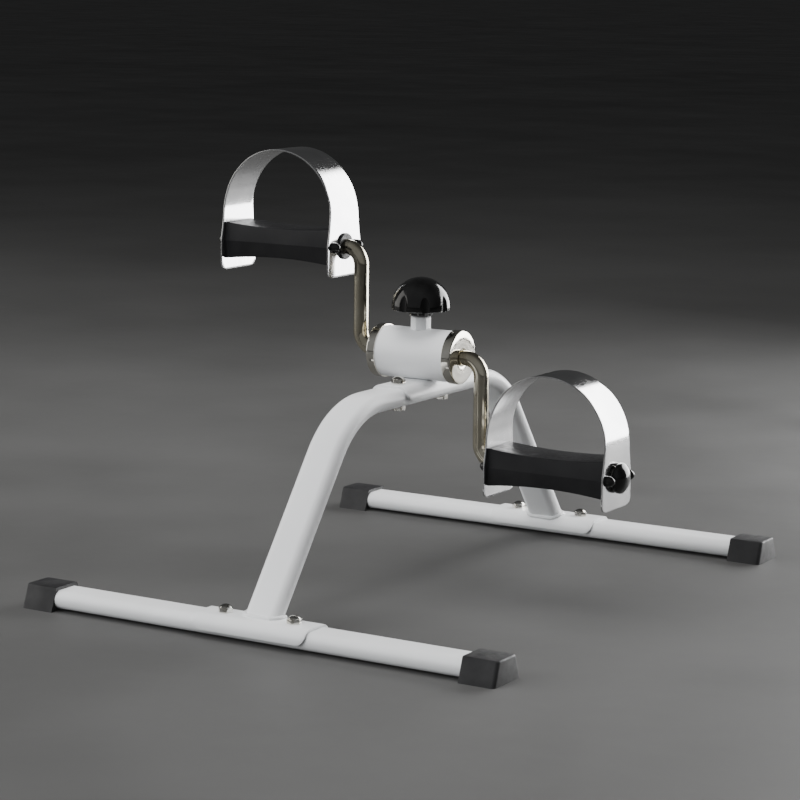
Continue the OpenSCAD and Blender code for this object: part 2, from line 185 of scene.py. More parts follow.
TUBE_WALL = 1.5
bar_coat = white_powder_coat("bar_powder_coat", grain=900)
bar_low, bar_high = node_box("front_floor_bar")
tube_w = bar_high.y - bar_low.y
tube_t = bar_high.z - bar_low.z
bar_z = (bar_low.z + bar_high.z) / 2
for end in ("front", "rear"):
    low, high = node_box(end + "_floor_bar")
    bm = bmesh.new()
    rings = oval_ring(bm, tube_w, tube_t, ACROSS)
    rings += oval_ring(bm, tube_w - 2 * TUBE_WALL, tube_t - 2 * TUBE_WALL, ACROSS)
    far_rings = drag(bm, rings, (high.x - low.x, 0, 0))
    bmesh.ops.bridge_loops(bm, edges=rings)
    bmesh.ops.bridge_loops(bm, edges=far_rings)
    bmesh.ops.translate(bm, verts=bm.verts, vec=(low.x, (low.y + high.y) / 2, bar_z))
    finish_piece(bm, end + "_bar", bar_coat, "frame", [end + "_floor_bar"])

# ---- Rubber end caps ----
# Four moulded caps of black rubber, pushed over the bars' ends. The sides slope, the upper
# edges are chamfered, and the socket shows as a rounded mouth round the tube.

CAP_TOP_W = 25.5
CAP_EDGE = 1.3
CAP_CORNER = 3.0
SOCKET_FLOOR = 1.5

rubber, tree, shader = coat_material("cap_rubber", (0.02, 0.02, 0.021), 0.0, 0.5)
vary_colour(tree, shader, object_noise(tree, 45, detail=5), (0.015, 0.015, 0.016), (0.028, 0.028, 0.029))
vary_roughness(tree, shader, object_noise(tree, 160, detail=6), 0.42, 0.62)
raise_grain(tree, shader, object_noise(tree, 1500, detail=2), 0.15, 0.25)

for end in ("front", "rear"):
    for hand, side in (("left", -1), ("right", 1)):
        low, high = node_box(f"{end}_{hand}_cap")
        cap_h = high.z
        foot_w = high.y - low.y
        mouth_x = high.x if side < 0 else low.x
        outer_x = low.x if side < 0 else high.x
        bm = bmesh.new()
        outline = [bm.verts.new((mouth_x, y, z)) for y, z in (
            (-foot_w / 2, 0), (foot_w / 2, 0), (CAP_TOP_W / 2, cap_h), (-CAP_TOP_W / 2, cap_h))]
        loop = [bm.edges.new((outline[k], outline[(k + 1) % 4])) for k in range(4)]
        far_loop = drag(bm, loop, (outer_x - mouth_x, 0, 0))
        end_face = bmesh.ops.contextual_create(bm, geom=far_loop)["faces"][0]
        upright = [e for e in end_face.edges if abs(e.verts[0].co.z - e.verts[1].co.z) > 1]
        bmesh.ops.bevel(bm, geom=upright, offset=CAP_CORNER, offset_type="OFFSET", segments=5,
                        profile=0.5, affect="EDGES", material=-1)
        top_edges = [e for e in bm.edges if min(v.co.z for v in e.verts) > cap_h - 0.01
                     and (e.is_boundary or e.calc_face_angle(0) > 0.6)]
        bmesh.ops.bevel(bm, geom=top_edges, offset=CAP_EDGE, offset_type="OFFSET", segments=3,
                        profile=0.5, affect="EDGES", material=-1)
        mouth = [e for e in bm.edges if e.is_boundary]
        socket = oval_ring(bm, tube_w, tube_t, ACROSS)
        bmesh.ops.translate(bm, verts=corners(socket), vec=(mouth_x, 0, bar_z))
        deep = drag(bm, socket, (outer_x - mouth_x - side * SOCKET_FLOOR, 0, 0))
        bmesh.ops.contextual_create(bm, geom=deep)
        bmesh.ops.bridge_loops(bm, edges=mouth + socket)
        bmesh.ops.translate(bm, verts=bm.verts, vec=(0, (low.y + high.y) / 2, 0))
        finish_piece(bm, f"{end}_{hand}_end_cap", rubber, "frame",
                     [f"{end}_{hand}_cap"])

# ---- Arch tube ----
# One length of the same flat-oval tube, bent twice on a 76 mm former, with its legs coped
# to sit on the foot saddles. It is powder coated together with the saddles it is welded to.

ARCH_BEND_R = 76
BEND_STEPS = 28
LEG_RUN, LEG_RISE, LEG_SLANT = 3, 4, 5
SHEET = 2.0
SADDLE_ROUND = tube_t / 2 + SHEET
INTO_SADDLE = 0.6

bar_y = sum(c.y for c in node_box("rear_floor_bar")) / 2
arch_z = node_box("arch_tube")[1].z - tube_t / 2
lean = math.degrees(math.atan2(LEG_RISE, LEG_RUN))
leg_y, leg_z = LEG_RUN / LEG_SLANT, LEG_RISE / LEG_SLANT


def saddle_skin(y):
    """Height of the rear foot saddle's skin above the floor."""
    over = max(0.0, abs(y - bar_y) - (tube_w - tube_t) / 2)
    return bar_z + math.sqrt(max(0.0, SADDLE_ROUND ** 2 - over ** 2))


def cope(verts, above):
    """Slides each point up the rear leg to a height above the saddle's skin."""
    for v in verts:
        near, far = 0.0, 30.0
        for _ in range(30):  # halve the stretch of leg that the point must end in
            half = (near + far) / 2
            too_low = v.co.z + leg_z * half < saddle_skin(v.co.y - leg_y * half) + above
            near, far = (half, far) if too_low else (near, half)
        v.co.y -= leg_y * near
        v.co.z += leg_z * near


level_y = bar_y - (arch_z - bar_z) * LEG_RUN / LEG_RISE - ARCH_BEND_R / 2
leg_len = (arch_z - bar_z) * LEG_SLANT / LEG_RISE - ARCH_BEND_R / 2
bm = bmesh.new()
facing_y = Matrix.Rotation(math.pi / 2, 4, "X")
rings = oval_ring(bm, tube_w, tube_t, facing_y)
rings += oval_ring(bm, tube_w - 2 * TUBE_WALL, tube_t - 2 * TUBE_WALL, facing_y)
bmesh.ops.translate(bm, verts=bm.verts, vec=(0, 0, arch_z))
reach = drag(bm, rings, (0, level_y, 0))
reach = swing(bm, reach, (0, level_y, arch_z - ARCH_BEND_R), (1, 0, 0), -lean, BEND_STEPS)
reach = drag(bm, reach, (0, leg_len * leg_y, -leg_len * leg_z))
cope(corners(reach), -INTO_SADDLE)
bmesh.ops.bridge_loops(bm, edges=reach)
bmesh.ops.mirror(bm, geom=bm.verts[:] + bm.edges[:] + bm.faces[:], axis="Y", merge_dist=0.001)
finish_piece(bm, "arch", bar_coat, "frame", ["arch_tube"])

# ---- Weld beads ----
# A fillet of weld runs round each leg where it stands on its saddle, ground lightly and
# coated over, so only a soft rippled collar is left.

BEAD_R = 2.2
BEAD_LIFT = 0.2
BEAD_GAP = 0.6

bead_coat, tree, shader = coat_material("bead_powder_coat", (0.79, 0.80, 0.81), 0.0, 0.38, coat=0.1)
vary_colour(tree, shader, object_noise(tree, 90), (0.74, 0.75, 0.76), (0.81, 0.82, 0.83))
vary_roughness(tree, shader, object_noise(tree, 200), 0.32, 0.48)
raise_grain(tree, shader, object_noise(tree, 420, detail=4), 0.6, 0.35)

for end, way in (("front", -1), ("rear", 1)):
    bm = bmesh.new()
    seam = corners(oval_ring(bm, tube_w + BEAD_GAP, tube_t + BEAD_GAP, facing_y))
    tilt = Matrix.Rotation(math.radians(-lean), 4, "X")
    bmesh.ops.transform(bm, matrix=Matrix.Translation((0, bar_y, bar_z)) @ tilt, verts=seam)
    cope(seam, BEAD_LIFT)
    walk = [seam[0]]
    while len(walk) < len(seam):
        walk.append(next(e.other_vert(walk[-1]) for e in walk[-1].link_edges
                         if e.other_vert(walk[-1]) not in walk))
    path = [v.co.copy() for v in walk]
    bm.free()
    wire = bpy.data.curves.new(end + "_bead_path", "CURVE")
    wire.dimensions = "3D"
    wire.bevel_depth = BEAD_R
    wire.bevel_resolution = 4
    line = wire.splines.new("POLY")
    line.points.add(len(path) - 1)
    line.use_cyclic_u = True
    for k, (spot, point) in enumerate(zip(line.points, path)):
        spot.co = (point.x, point.y * way, point.z, 1)
        spot.radius = 0.92 + 0.10 * math.sin(2.1 * k) + 0.05 * math.sin(5.3 * k)
    former = bpy.data.objects.new(end + "_bead_path", wire)
    bpy.context.scene.collection.objects.link(former)
    bm = bmesh.new()
    bm.from_mesh(former.to_mesh())
    former.to_mesh_clear()
    bpy.data.objects.remove(former)
    finish_piece(bm, end + "_weld_bead", bead_coat, "frame")

# ---- Saddles ----
# Three pressed plates of 2 mm steel. Two wrap over the floor bars and carry the legs, and
# the third lies along the top of the arch under the barrel. Their lower corners are rounded.

SKIRT = 2.5
SADDLE_CORNER = 8.0
PLATE_EDGE = 0.45

saddle_coat = white_powder_coat("saddle_powder_coat", grain=800)


def pressed_saddle(length):
    """The plate's outer skin over a tube along X at the origin, open underneath, facing out."""
    bm = bmesh.new()
    ring = oval_ring(bm, tube_w + 2 * SHEET, tube_t + 2 * SHEET, ACROSS, quarter=20)
    cut = bmesh.ops.bisect_plane(bm, geom=corners(ring) + ring, plane_co=(0, 0, -SKIRT),
                                 plane_no=(0, 0, -1), clear_outer=True)
    section = [g for g in cut["geom"] if isinstance(g, bmesh.types.BMEdge) and g.is_valid]
    bmesh.ops.translate(bm, verts=bm.verts, vec=(-length / 2, 0, 0))
    end_steps = (SADDLE_CORNER / 2,) * 2
    for step in end_steps + ((length - 2 * SADDLE_CORNER) / 8,) * 8 + end_steps:
        section = drag(bm, section, (step, 0, 0))
    for v in bm.verts:
        below = -SKIRT + SADDLE_CORNER - v.co.z
        in_corner = abs(v.co.x) - (length / 2 - SADDLE_CORNER)
        if below > 0 and in_corner > 0:
            pull = in_corner * (1 - math.sqrt(max(0.0, 1 - (below / SADDLE_CORNER) ** 2)))
            v.co.x -= math.copysign(pull, v.co.x)
    bmesh.ops.recalc_face_normals(bm, faces=bm.faces)
    crown = max(bm.faces, key=lambda f: f.calc_center_median().z)
    if crown.normal.z < 0:
        bmesh.ops.reverse_faces(bm, faces=bm.faces)
    return bm


def sheet_thickness(piece, thickness, edge):
    """Gives a skin its sheet thickness inwards and softens the cut edges."""
    shell = piece.modifiers.new("sheet", "SOLIDIFY")
    shell.thickness = thickness * MM
    shell.offset = -1
    soften = piece.modifiers.new("deburred", "BEVEL")
    soften.width = edge * MM
    soften.segments = 2
    soften.limit_method = "ANGLE"
    soften.angle_limit = math.radians(50)


for end in ("front", "rear"):
    low, high = node_box(end + "_foot_saddle")
    bm = pressed_saddle(high.x - low.x)
    bmesh.ops.translate(bm, verts=bm.verts, vec=(0, (low.y + high.y) / 2, bar_z))
    plate = finish_piece(bm, end + "_saddle", saddle_coat, "frame",
                         [end + "_foot_saddle"], recalc=False)
    sheet_thickness(plate, SHEET, PLATE_EDGE)

low, high = node_box("barrel_saddle")
bm = pressed_saddle(high.y - low.y)
bmesh.ops.rotate(bm, verts=bm.verts, cent=(0, 0, 0), matrix=Matrix.Rotation(math.pi / 2, 3, "Z"))
bmesh.ops.translate(bm, verts=bm.verts, vec=(0, 0, arch_z))
plate = finish_piece(bm, "barrel_seat", saddle_coat, "frame", ["barrel_saddle"],
                     recalc=False)
sheet_thickness(plate, SHEET, PLATE_EDGE)

# ---- Frame screws and nuts ----
# Zinc-plated hexagon screws with a low dome hold the saddles to the bars, and the same
# domed nuts close the two bolts through the arch. All of them are pulled down on the coat.

HEX_FLATS = 10.0
HEAD_H = 6.0
HEX_H = 3.5
RIM, BOLT_RIM = 0.35, 0.4
BOLT_HEAD_H = 5.0
SHANK_R = 3
SHANK_LEN = 11

zinc, tree, shader = coat_material("bright_zinc_plate", (0.74, 0.73, 0.69), 1.0, 0.16)
vary_colour(tree, shader, object_noise(tree, 260), (0.60, 0.58, 0.52), (0.80, 0.79, 0.76))
vary_roughness(tree, shader, object_noise(tree, 500, detail=5), 0.10, 0.26)
raise_grain(tree, shader, object_noise(tree, 1600), 0.05, 0.15)


def lathe(bm, outline, closed=True, soften=None, steps=64):
    """Turns an outline of (radius, height) corners about Z; soften gives radii for its corners."""
    spots = [bm.verts.new((r, 0, z)) for r, z in outline]
    pairs = list(zip(spots, spots[1:])) + ([(spots[-1], spots[0])] if closed else [])
    for pair in pairs:
        bm.edges.new(pair)
    for corner, radius in (soften or {}).items():
        bmesh.ops.bevel(bm, geom=[spots[corner]], offset=radius, offset_type="OFFSET", segments=6,
                        profile=0.5, affect="VERTICES", material=-1)
    profile = [e for e in bm.edges if not e.link_faces]
    bmesh.ops.spin(bm, geom=corners(profile) + profile, cent=(0, 0, 0), axis=(0, 0, 1), dvec=(0, 0, 0),
                   angle=2 * math.pi, steps=steps, use_merge=True, use_duplicate=False)
    return bm


def hexagon(bm, flats, height, edge):
    """A hexagonal prism on Z = 0 with its flats across Y and a chamfered upper rim."""
    reach = flats / 2 / math.cos(math.pi / 6)
    solid = bmesh.ops.create_cone(bm, cap_ends=True, segments=6, radius1=reach, radius2=reach,
                                  depth=height)["verts"]
    bmesh.ops.rotate(bm, verts=solid, cent=(0, 0, 0), matrix=Matrix.Rotation(math.pi / 6, 3, "Z"))
    bmesh.ops.translate(bm, verts=solid, vec=(0, 0, height / 2))
    edges = each_once(e for v in solid for e in v.link_edges)
    sharp = [e for e in edges if max(v.co.z for v in e.verts) > height / 2]
    bmesh.ops.bevel(bm, geom=sharp, offset=edge, offset_type="OFFSET", segments=2, profile=0.5,
                    affect="EDGES", material=-1)


def ball_arc(ball_r, edge_r, top, steps):
    """A domed outline from the axis, at height top, out to edge_r on a ball."""
    angles = [math.asin(edge_r / ball_r) * k / steps for k in range(steps + 1)]
    return [(ball_r * math.sin(a), top - ball_r + ball_r * math.cos(a)) for a in angles]


def domed_head(bm):
    """A hexagon with a dome over it."""
    hexagon(bm, HEX_FLATS, HEX_H, RIM)
    foot_r = HEX_FLATS / 2 - RIM
    outline = ball_arc(HEX_FLATS * 0.62, foot_r, HEAD_H, 8)
    lathe(bm, outline + [(foot_r, HEX_H - 0.4), (0, HEX_H - 0.4)], closed=False, steps=32)


def fresh(bm, before):
    """The vertices made since there were that many before."""
    bm.verts.ensure_lookup_table()
    return bm.verts[before:]


def place(bm, verts, spot, turn):
    """Moves a head to its spot, turned about Z first as the spanner left it."""
    bmesh.ops.rotate(bm, verts=verts, cent=(0, 0, 0), matrix=Matrix.Rotation(turn, 3, "Z"))
    bmesh.ops.translate(bm, verts=verts, vec=spot)


low, high = node_box("foot_screws")
screw_x = high.x - HEX_FLATS / 2 / math.cos(math.pi / 6)
bm = bmesh.new()
for way_x, way_y, turn in ((-1, -1, 0.2), (1, -1, 0.75), (-1, 1, 0.5), (1, 1, 0.1)):
    before = len(bm.verts)
    domed_head(bm)
    lathe(bm, [(0, -SHANK_LEN), (SHANK_R, -SHANK_LEN), (SHANK_R, 0.5), (0, 0.5)], closed=False,
          steps=24)
    place(bm, fresh(bm, before), (way_x * screw_x, way_y * bar_y, high.z - HEAD_H), turn)
finish_piece(bm, "saddle_screws", zinc, "frame", ["foot_screws"], crease=30)

low, high = node_box("barrel_nuts")
nut_y = high.y - HEX_FLATS / 2
bm = bmesh.new()
for y, turn in ((-nut_y, 0.35), (nut_y, 0.8)):
    before = len(bm.verts)
    domed_head(bm)
    place(bm, fresh(bm, before), (0, y, high.z - HEAD_H), turn)
finish_piece(bm, "seat_nuts", zinc, "frame", ["barrel_nuts"], crease=30)

low, high = node_box("barrel_bolts")
bolt_len = high.z - low.z
bm = bmesh.new()
for y in (-nut_y, nut_y):
    before = len(bm.verts)
    hexagon(bm, HEX_FLATS, BOLT_HEAD_H, BOLT_RIM)
    for v in fresh(bm, before):  # the chamfered rim faces down
        v.co.z = BOLT_HEAD_H - v.co.z
    lathe(bm, [(0, 3.8), (SHANK_R, 3.8), (SHANK_R, bolt_len), (0, bolt_len)], closed=False, steps=24)
    place(bm, fresh(bm, before), (0, y, low.z), 0.4)
finish_piece(bm, "seat_bolts", zinc, "frame", ["barrel_bolts"], crease=30)

# ---- Barrel and its boss ----
# The housing of the crankshaft: a short length of 40 mm steel tube welded in the seat, with
# a tapped hexagonal boss on top for the tension screw. Both are powder coated white.

BARREL_WALL = 1.7
BORE_R = 4.1
SUNK = 1
CHAMFER = 0.5


def lay_along_x(bm, verts, way, spot):
    """Lays turned work down with its upper end towards way along X, and moves it to spot."""
    bmesh.ops.rotate(bm, verts=verts, cent=(0, 0, 0), matrix=Matrix.Rotation(math.pi / 2, 3, "Y"))
    bmesh.ops.scale(bm, vec=(way, 1, 1), verts=verts)
    bmesh.ops.translate(bm, verts=verts, vec=spot)


barrel_coat = white_powder_coat("barrel_powder_coat", grain=850)
low, high = node_box("barrel_tube")
axis_z = (low.z + high.z) / 2
barrel_r = (high.z - low.z) / 2
bm = bmesh.new()
lathe(bm, [(barrel_r - BARREL_WALL, low.x), (barrel_r, low.x), (barrel_r, high.x),
           (barrel_r - BARREL_WALL, high.x)], steps=128)
lay_along_x(bm, bm.verts, 1, (0, 0, axis_z))
finish_piece(bm, "barrel", barrel_coat, "frame", ["barrel_tube"])

low, high = node_box("screw_boss")
boss_reach = (high.y - low.y) / 2
bm = bmesh.new()
outside = bmesh.ops.create_circle(bm, segments=6, radius=boss_reach)["verts"]
bmesh.ops.bevel(bm, geom=outside, offset=0.6, offset_type="OFFSET", segments=3, profile=0.5,
                affect="VERTICES", material=-1)
outer_loop = bm.edges[:]
inner = bmesh.ops.create_circle(bm, segments=24, radius=BORE_R)["verts"]
inner_loop = each_once(e for v in inner for e in v.link_edges)
foot_z = axis_z + barrel_r - SUNK
bmesh.ops.translate(bm, verts=bm.verts, vec=(0, 0, foot_z))
top_outer = drag(bm, outer_loop, (0, 0, high.z - CHAMFER - foot_z))
top_outer_rim = drag(bm, top_outer, (0, 0, CHAMFER))
bmesh.ops.scale(bm, vec=(0.94, 0.94, 1), verts=corners(top_outer_rim))
top_inner = drag(bm, inner_loop, (0, 0, high.z - foot_z))
bmesh.ops.bridge_loops(bm, edges=outer_loop + inner_loop)
bmesh.ops.bridge_loops(bm, edges=top_outer_rim + top_inner)
finish_piece(bm, "tapped_boss", barrel_coat, "frame", ["screw_boss"])

# ---- Barrel end caps ----
# Two chromed steel cups pressed over the barrel's ends, with a rolled outer edge and a
# turned-in lip round the hole that the crank passes through.

CUP_SHEET = 1.0
CUP_HOLE_R = 7.0
CUP_LIP = 2.4

chrome, tree, shader = coat_material("bright_chrome", (0.80, 0.78, 0.71), 1.0, 0.07)
vary_colour(tree, shader, object_noise(tree, 70), (0.72, 0.69, 0.61), (0.83, 0.81, 0.75))
vary_roughness(tree, shader, object_noise(tree, 240, detail=6), 0.04, 0.12)
raise_grain(tree, shader, object_noise(tree, 350), 0.04, 0.10)

low, high = node_box("right_end_cap")
cup_r = (high.z - low.z) / 2
band = high.x - low.x
for hand, side in (("left", -1), ("right", 1)):
    bm = bmesh.new()
    lathe(bm, [(barrel_r, 0), (cup_r, 0), (cup_r, band), (CUP_HOLE_R, band),
               (CUP_HOLE_R, band - CUP_LIP), (CUP_HOLE_R + CUP_SHEET, band - CUP_LIP),
               (CUP_HOLE_R + CUP_SHEET, band - CUP_SHEET), (barrel_r, band - CUP_SHEET)],
          soften={1: 0.3, 2: 1.6, 3: 0.8}, steps=128)
    lay_along_x(bm, bm.verts, side, (side * low.x, 0, axis_z))
    finish_piece(bm, hand + "_barrel_cap", chrome, "frame", [hand + "_end_cap"])

# ---- Crank ----
# One 12 mm steel rod, bent four times into shaft, arms and pedal axles, nickel-chromed so
# that it keeps a warmer tone than the cups. Its ends are hidden in the axle caps.

ROD_BEND_R = 14.0
ROD_BEND_STEPS = 16
ARM_FROM_CUP = 21.05

nickel, tree, shader = coat_material("nickel_chrome", (0.62, 0.58, 0.46), 1.0, 0.12)
vary_colour(tree, shader, object_noise(tree, 38, detail=5), (0.50, 0.46, 0.35), (0.70, 0.66, 0.55))
vary_roughness(tree, shader, object_noise(tree, 320, detail=6), 0.08, 0.20)
raise_grain(tree, shader, object_noise(tree, 180, detail=4), 0.05, 0.12)

low, high = node_box("crank_rod")
rod_r = (high.y - low.y) / 2
crank_r = high.z - rod_r - axis_z
arm_x = sum(c.x for c in node_box("right_end_cap")) / 2 + ARM_FROM_CUP
axle_len = high.x - arm_x - ROD_BEND_R
arm_len = crank_r - 2 * ROD_BEND_R
bm = bmesh.new()
ring = bmesh.ops.create_circle(bm, segments=40, radius=rod_r, matrix=ACROSS)["verts"]
path = each_once(e for v in ring for e in v.link_edges)
start = path
bmesh.ops.translate(bm, verts=ring, vec=(low.x, 0, axis_z + crank_r))
path = drag(bm, path, (axle_len, 0, 0))
for mid_x, top_z in ((-arm_x, axis_z + crank_r), (arm_x, axis_z)):
    upper = (mid_x - ROD_BEND_R, 0, top_z - ROD_BEND_R)
    lower = (mid_x + ROD_BEND_R, 0, top_z - crank_r + ROD_BEND_R)
    path = swing(bm, path, upper, (0, 1, 0), 90, ROD_BEND_STEPS)
    path = drag(bm, path, (0, 0, -arm_len))
    path = swing(bm, path, lower, (0, 1, 0), -90, ROD_BEND_STEPS)
    path = drag(bm, path, (2 * (arm_x - ROD_BEND_R) if mid_x < 0 else axle_len, 0, 0))
for loop in (start, path):
    bmesh.ops.contextual_create(bm, geom=loop)
finish_piece(bm, "crank", nickel, "crank", ["crank_rod"])

# ---- Pedal blocks ----
# Two moulded blocks of matt black plastic, dished on top and underneath, with a ridge along
# the front and back. Fine ribs run across the tread to keep a shoe from sliding.

TREAD_DIP, BELLY_DIP = 2.6, 3.2
RIDGE_OUT = 1.8
PEDAL_H = 29.5
HUB_R = 9.0
BLOCK_CORNER = 1.2
BLOCK_SLICES = 28

pedal_black, tree, shader = coat_material("matt_black_plastic", (0.008, 0.008, 0.009), 0.0, 0.5)
vary_colour(tree, shader, object_noise(tree, 55, detail=6), (0.006, 0.006, 0.007), (0.011, 0.011, 0.012))
vary_roughness(tree, shader, object_noise(tree, 220, detail=6), 0.40, 0.60)
coords = tree.nodes.new("ShaderNodeTexCoord")
ribs = tree.nodes.new("ShaderNodeTexWave")
ribs.bands_direction = "Y"
ribs.inputs["Scale"].default_value = 130
ribs.inputs["Distortion"].default_value = 0.6
tree.links.new(coords.outputs["Object"], ribs.inputs["Vector"])
spark = object_noise(tree, 2200, detail=2)
blend = tree.nodes.new("ShaderNodeMath")
blend.operation = "ADD"
tree.links.new(ribs.outputs["Fac"], blend.inputs[0])
tree.links.new(spark, blend.inputs[1])
raise_grain(tree, shader, blend.outputs["Value"], 0.12, 0.30)

low, high = node_box("right_pedal_block")
half_len, half_d, half_h = (high.x - low.x) / 2, (high.y - low.y) / 2, PEDAL_H / 2
pedal_x = (low.x + high.x) / 2
pedal = {"left": (-pedal_x, axis_z + crank_r, -1), "right": (pedal_x, axis_z - crank_r, 1)}

for hand, (mid_x, axle_z, _) in pedal.items():
    bm = bmesh.new()
    outline = [bm.verts.new((0, y, z)) for y, z in (
        (-half_d + RIDGE_OUT, half_h), (-half_d, 0), (-half_d + RIDGE_OUT, -half_h),
        (half_d - RIDGE_OUT, -half_h), (half_d, 0), (half_d - RIDGE_OUT, half_h))]
    for k in range(6):
        bm.edges.new((outline[k], outline[(k + 1) % 6]))
    for k in (0, 2, 3, 5):
        bmesh.ops.bevel(bm, geom=[outline[k]], offset=BLOCK_CORNER, offset_type="OFFSET", segments=4,
                        profile=0.5, affect="VERTICES", material=-1)
    outer = bm.edges[:]
    bore = bmesh.ops.create_circle(bm, segments=32, radius=HUB_R, matrix=ACROSS)["verts"]
    bore_loop = each_once(e for v in bore for e in v.link_edges)
    bmesh.ops.translate(bm, verts=bm.verts, vec=(-half_len, 0, 0))
    far_bore = drag(bm, bore_loop, (2 * half_len, 0, 0))
    far_outer = outer
    for _ in range(BLOCK_SLICES):
        far_outer = drag(bm, far_outer, (2 * half_len / BLOCK_SLICES, 0, 0))
    bmesh.ops.bridge_loops(bm, edges=outer + bore_loop)
    bmesh.ops.bridge_loops(bm, edges=far_outer + far_bore)
    for v in bm.verts:
        if math.hypot(v.co.y, v.co.z) > HUB_R + 0.5:
            bow = 1 - (v.co.x / half_len) ** 2
            v.co.z *= 1 - bow * (TREAD_DIP if v.co.z > 0 else BELLY_DIP) / half_h
    rims = [e for e in outer + far_outer if e.is_valid]
    bmesh.ops.bevel(bm, geom=rims, offset=0.7, offset_type="OFFSET", segments=2, profile=0.5,
                    affect="EDGES", material=-1)
    bmesh.ops.translate(bm, verts=bm.verts, vec=(mid_x, 0, axle_z))
    block = finish_piece(bm, hand + "_block", pedal_black, hand + "_pedal",
                         [hand + "_pedal_block"], crease=30)
    for edge in block.data.edges:  # the moulded ridge stays crisp
        if all(abs(block.data.vertices[k].co.y) > (half_d - 0.05) * MM for k in edge.vertices):
            edge.use_edge_sharp = True

# ---- Toe straps ----
# A hoop of 1.2 mm spring steel over each pedal, polished bright, wide where it is screwed to
# the block's ends and slimmer over the foot. The free ends hang below with round corners.

STRAP_T = 1.2
STRAP_EDGE = 0.2
STRAP_FACES = 16
STRAP_SHOULDER, STRAP_DROP = 24.0, 24.0
STRAP_CORNER = 6.0
STRAP_HALF_WIDTHS = ((2.0, 24.0), (21.6, 20.7), (40.0, 19.5))  # (height above the axle, half width)

polished, tree, shader = coat_material("polished_strip_steel", (0.72, 0.72, 0.72), 1.0, 0.2)
vary_colour(tree, shader, object_noise(tree, 30, detail=4), (0.66, 0.66, 0.67), (0.80, 0.80, 0.80))
vary_roughness(tree, shader, object_noise(tree, 900, detail=5, stretch=(0.05, 1, 0.05)), 0.09, 0.20)
raise_grain(tree, shader, object_noise(tree, 1400, detail=3, stretch=(0.03, 1, 0.03)), 0.03, 0.12)


def strap_half_width(z):
    """Half the strap's width at a height above the axle, easing between the given ones."""
    (z0, w0), (z1, w1), (z2, w2) = STRAP_HALF_WIDTHS
    if z <= z0:
        return w0
    if z <= z1:
        t = (z - z0) / (z1 - z0)
        return w0 + (w1 - w0) * t * (1.6 - 0.6 * t)
    t = min(1.0, (z - z1) / (z2 - z1))
    return w1 + (w2 - w1) * t * (2 - t)


for hand, (mid_x, axle_z, _) in pedal.items():
    bm = bmesh.new()
    first = [bm.verts.new((-half_len, 2 * k / STRAP_FACES - 1, -STRAP_DROP))
             for k in range(STRAP_FACES + 1)]
    path = [bm.edges.new(pair) for pair in zip(first, first[1:])]
    above_corner = STRAP_SHOULDER + STRAP_DROP - STRAP_CORNER
    lifts = (STRAP_CORNER / 4,) * 4 + (above_corner / 20,) * 20
    for lift in lifts:
        path = drag(bm, path, (0, 0, lift))
    path = swing(bm, path, (0, 0, STRAP_SHOULDER), (0, 1, 0), 180, 64)
    for lift in reversed(lifts):
        path = drag(bm, path, (0, 0, -lift))
    for v in bm.verts:
        wide = strap_half_width(v.co.z)
        above = max(0.0, v.co.z + STRAP_DROP)
        if above < STRAP_CORNER:
            wide -= STRAP_CORNER - math.sqrt(STRAP_CORNER ** 2 - (STRAP_CORNER - above) ** 2)
        v.co.y *= wide
    bmesh.ops.recalc_face_normals(bm, faces=bm.faces)
    crown = max(bm.faces, key=lambda f: f.calc_center_median().z)
    if crown.normal.z > 0:
        bmesh.ops.reverse_faces(bm, faces=bm.faces)
    bmesh.ops.translate(bm, verts=bm.verts, vec=(mid_x, 0, axle_z))
    strap = finish_piece(bm, hand + "_strap", polished, hand + "_pedal",
                         [hand + "_toe_strap"], recalc=False)
    sheet_thickness(strap, STRAP_T, STRAP_EDGE)

# ---- Strap screws, pedal bushes and axle caps ----
# Small black domed screws hold each end of a strap. Plastic bushes carry the axle, the inner
# one with a flange, and a push-on dome of glossy black plastic closes the axle's outer end.

STUD_GAP, STUD_R, STUD_SHANK_R, STUD_SHANK = 33.0, 4.3, 1.8, 11
STUD_WALL, STUD_BROW, STUD_TIP_R = 2.2, 4.8, 1.2
FLANGE_R, FLANGE_T, BUSH_LEN = 10.5, 2.0, 14.0
RUNNING_GAP = 0.05
DOME_BALL_R = 16.0
DOME_SOCKET = 4

gloss, tree, shader = coat_material("gloss_black_plastic", (0.004, 0.004, 0.004), 0.0, 0.14, coat=0.2)
vary_colour(tree, shader, object_noise(tree, 80, detail=4), (0.003, 0.003, 0.003), (0.006, 0.006, 0.006))
vary_roughness(tree, shader, object_noise(tree, 300, detail=6), 0.08, 0.18)
raise_grain(tree, shader, object_noise(tree, 500), 0.05, 0.08)

